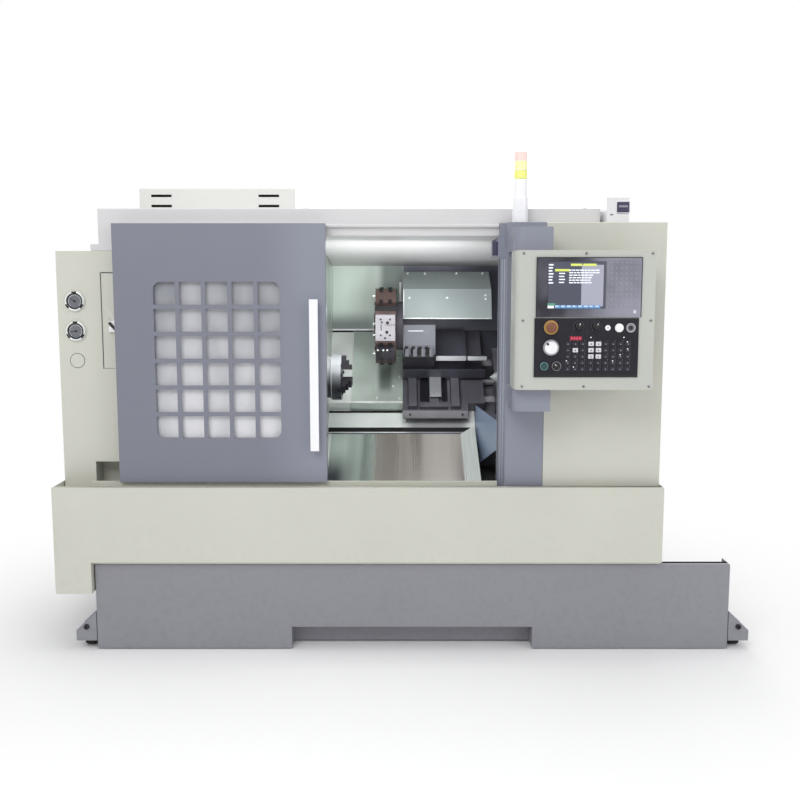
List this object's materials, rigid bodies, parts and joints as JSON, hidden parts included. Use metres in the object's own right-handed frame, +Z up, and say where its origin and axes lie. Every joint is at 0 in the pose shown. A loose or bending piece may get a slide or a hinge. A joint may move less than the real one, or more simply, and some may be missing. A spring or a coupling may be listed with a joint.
{
  "type": "cnc turning lathe",
  "caption": "Slant-bed turning lathe in a sheet-metal enclosure with a sliding door, tool turret, operator panel on a pivot and a roll-out coolant tank.",
  "frame": {"origin": "on the floor under the middle of the outer box, tank casters, stop button and electrical cabinet included", "axes": "+X to the operator's right along the spindle, +Y to the back of the machine, +Z up"},
  "size_m": [2.88, 1.66, 2.046],
  "materials": {
    "cream_paint": "satin",
    "slate_paint": "satin",
    "tank_paint": "satin",
    "bare_sheet": "brushed",
    "casting_paint": "satin",
    "machined_steel": "machined",
    "iron_casting": "machined",
    "white_lacquer": "gloss",
    "window_glass": "clear",
    "lamp_plastic": "translucent",
    "black_plastic": "matte",
    "panel_face": "satin",
    "stop_orange": "gloss",
    "start_green": "gloss",
    "white_plastic": "gloss",
    "caster_rubber": "matte",
    "zinc_steel": "zinc plated"
  },
  "bodies": {
    "frame": {"bed_casting": "iron_casting", "levelling_feet": "zinc_steel", "bed_rails": "machined_steel", "headstock": "iron_casting", "spindle_motor": "casting_paint", "z_drive": "casting_paint", "lower_front_cover": "cream_paint", "left_cover": "cream_paint", "access_door": "cream_paint", "pressure_gauges": "black_plastic", "roof_hood": "cream_paint", "rear_cover": "cream_paint", "right_cabinet": "cream_paint", "door_post": "slate_paint", "roof_unit": "cream_paint", "signal_tower": "lamp_plastic", "panel_brackets": "slate_paint", "inner_left_wall": "bare_sheet", "back_wall": "bare_sheet", "chute_panel": "bare_sheet", "tail_guard": "bare_sheet", "way_cover_fixed": "bare_sheet", "electrical_cabinet": "cream_paint"},
    "door": {"sliding_door": "slate_paint", "door_glass": "window_glass", "door_handle": "white_lacquer"},
    "spindle": {"spindle": "machined_steel", "chuck_body": "machined_steel"},
    "jaw_1": {"chuck_jaw_1": "machined_steel"},
    "jaw_2": {"chuck_jaw_2": "machined_steel"},
    "jaw_3": {"chuck_jaw_3": "machined_steel"},
    "z_screw": {"ball_screw": "machined_steel"},
    "carriage": {"saddle": "machined_steel"},
    "middle_cover": {"way_cover_middle": "bare_sheet"},
    "cross_slide": {"cross_slide": "iron_casting", "turret_housing": "iron_casting", "turret_guard": "bare_sheet"},
    "turret": {"turret_disc": "machined_steel", "boring_holder": "machined_steel"},
    "tailstock": {"tailstock": "iron_casting"},
    "quill": {"quill": "machined_steel"},
    "centre": {"live_centre": "machined_steel"},
    "panel": {"operator_panel": "cream_paint", "display_unit": "panel_face", "machine_board": "panel_face"},
    "stop_button": {"stop_button": "stop_orange"},
    "hand_wheel": {"hand_wheel": "white_plastic"},
    "feed_knob": {"feed_knob": "black_plastic"},
    "speed_knob": {"speed_knob": "black_plastic"},
    "mode_knob": {"mode_knob": "black_plastic"},
    "start_button": {"start_button": "start_green"},
    "tank": {"coolant_tank": "tank_paint"},
    "fork_left": {"caster_fork_left": "zinc_steel"},
    "fork_right": {"caster_fork_right": "zinc_steel"},
    "wheel_front_left": {"wheel_front_left": "caster_rubber"},
    "wheel_front_right": {"wheel_front_right": "caster_rubber"},
    "wheel_rear_left": {"wheel_rear_left": "caster_rubber"},
    "wheel_rear_right": {"wheel_rear_right": "caster_rubber"},
    "electrical_door": {"electrical_door": "cream_paint"},
    "main_switch": {"main_switch": "black_plastic"}
  },
  "joints": [
    {"name": "door_slide", "type": "slide", "parent": "frame", "child": "door", "axis": [1, 0, 0], "range_m": [0, 0.73]},
    {"name": "spindle_spin", "type": "hinge", "parent": "frame", "child": "spindle", "pos_m": [0, -0.05, 1.096], "axis": [1, 0, 0], "continuous": true},
    {"name": "jaw_1_slide", "type": "slide", "parent": "spindle", "child": "jaw_1", "axis": [0, 0, 1], "range_m": [-0.004, 0.004]},
    {"name": "jaw_2_slide", "type": "slide", "parent": "spindle", "child": "jaw_2", "axis": [0, -0.866, -0.5], "range_m": [-0.004, 0.004]},
    {"name": "jaw_3_slide", "type": "slide", "parent": "spindle", "child": "jaw_3", "axis": [0, 0.866, -0.5], "range_m": [-0.004, 0.004]},
    {"name": "z_screw_spin", "type": "hinge", "parent": "frame", "child": "z_screw", "pos_m": [0, 0.31275, 1.03731], "axis": [1, 0, 0], "continuous": true},
    {"name": "z_slide", "type": "slide", "parent": "frame", "child": "carriage", "axis": [1, 0, 0], "range_m": [-0.2, 0.05]},
    {"name": "middle_cover_slide", "type": "slide", "parent": "frame", "child": "middle_cover", "axis": [1, 0, 0], "range_m": [-0.11, 0.03]},
    {"name": "x_slide", "type": "slide", "parent": "carriage", "child": "cross_slide", "axis": [0, -0.7071, -0.7071], "range_m": [-0.01, 0.15]},
    {"name": "turret_index", "type": "hinge", "parent": "cross_slide", "child": "turret", "pos_m": [0, 0.17627, 1.32227], "axis": [1, 0, 0], "continuous": true},
    {"name": "tailstock_slide", "type": "slide", "parent": "frame", "child": "tailstock", "axis": [1, 0, 0], "range_m": [-0.03, 0.05]},
    {"name": "quill_slide", "type": "slide", "parent": "tailstock", "child": "quill", "axis": [-1, 0, 0], "range_m": [0, 0.08]},
    {"name": "centre_spin", "type": "hinge", "parent": "quill", "child": "centre", "pos_m": [0, -0.05, 1.096], "axis": [1, 0, 0], "continuous": true},
    {"name": "panel_swivel", "type": "hinge", "parent": "frame", "child": "panel", "pos_m": [0.492, -0.722, 1.4], "axis": [0, 0, -1], "range_deg": [0, 80]},
    {"name": "stop_press", "type": "slide", "parent": "panel", "child": "stop_button", "axis": [0, 1, 0], "range_m": [0, 0.003], "stiffness_N_per_m": 1500},
    {"name": "hand_wheel_turn", "type": "hinge", "parent": "panel", "child": "hand_wheel", "pos_m": [0.553, -0.805, 1.281], "axis": [0, -1, 0], "continuous": true},
    {"name": "feed_knob_turn", "type": "hinge", "parent": "panel", "child": "feed_knob", "pos_m": [0.657, -0.805, 1.362], "axis": [0, -1, 0], "range_deg": [-135, 135]},
    {"name": "speed_knob_turn", "type": "hinge", "parent": "panel", "child": "speed_knob", "pos_m": [0.723, -0.805, 1.362], "axis": [0, -1, 0], "range_deg": [-120, 120]},
    {"name": "mode_knob_turn", "type": "hinge", "parent": "panel", "child": "mode_knob", "pos_m": [0.576, -0.805, 1.21], "axis": [0, -1, 0], "range_deg": [-90, 90]},
    {"name": "start_press", "type": "slide", "parent": "panel", "child": "start_button", "axis": [0, 1, 0], "range_m": [0, 0.003], "stiffness_N_per_m": 1000},
    {"name": "tank_roll", "type": "slide", "parent": "frame", "child": "tank", "axis": [0, -1, 0], "range_m": [0, 0.6]},
    {"name": "fork_left_swivel", "type": "hinge", "parent": "tank", "child": "fork_left", "pos_m": [-1.328, -0.518, 0.026], "axis": [0, 0, 1], "continuous": true},
    {"name": "fork_right_swivel", "type": "hinge", "parent": "tank", "child": "fork_right", "pos_m": [1.396, -0.518, 0.026], "axis": [0, 0, 1], "continuous": true},
    {"name": "wheel_front_left_spin", "type": "hinge", "parent": "fork_left", "child": "wheel_front_left", "pos_m": [-1.328, -0.506, 0.026], "axis": [1, 0, 0], "continuous": true},
    {"name": "wheel_front_right_spin", "type": "hinge", "parent": "fork_right", "child": "wheel_front_right", "pos_m": [1.396, -0.506, 0.026], "axis": [1, 0, 0], "continuous": true},
    {"name": "wheel_rear_left_spin", "type": "hinge", "parent": "tank", "child": "wheel_rear_left", "pos_m": [-1.328, -0.09215, 0.026], "axis": [1, 0, 0], "continuous": true},
    {"name": "wheel_rear_right_spin", "type": "hinge", "parent": "tank", "child": "wheel_rear_right", "pos_m": [1.396, -0.09215, 0.026], "axis": [1, 0, 0], "continuous": true},
    {"name": "electrical_door_swing", "type": "hinge", "parent": "frame", "child": "electrical_door", "pos_m": [-1.3533, 0.8, 1.2], "axis": [0, 0, 1], "range_deg": [0, 100]},
    {"name": "main_switch_turn", "type": "hinge", "parent": "electrical_door", "child": "main_switch", "pos_m": [-0.654, 0.808, 1.5], "axis": [0, 1, 0], "range_deg": [0, 90]}
  ],
  "couplings": [
    {"joint": "jaw_2_slide", "follows": "jaw_1_slide", "ratio": 1},
    {"joint": "jaw_3_slide", "follows": "jaw_1_slide", "ratio": 1},
    {"joint": "middle_cover_slide", "follows": "z_slide", "ratio": 0.5},
    {"joint": "z_screw_spin", "follows": "z_slide", "rad_per_m": 628.32}
  ]
}
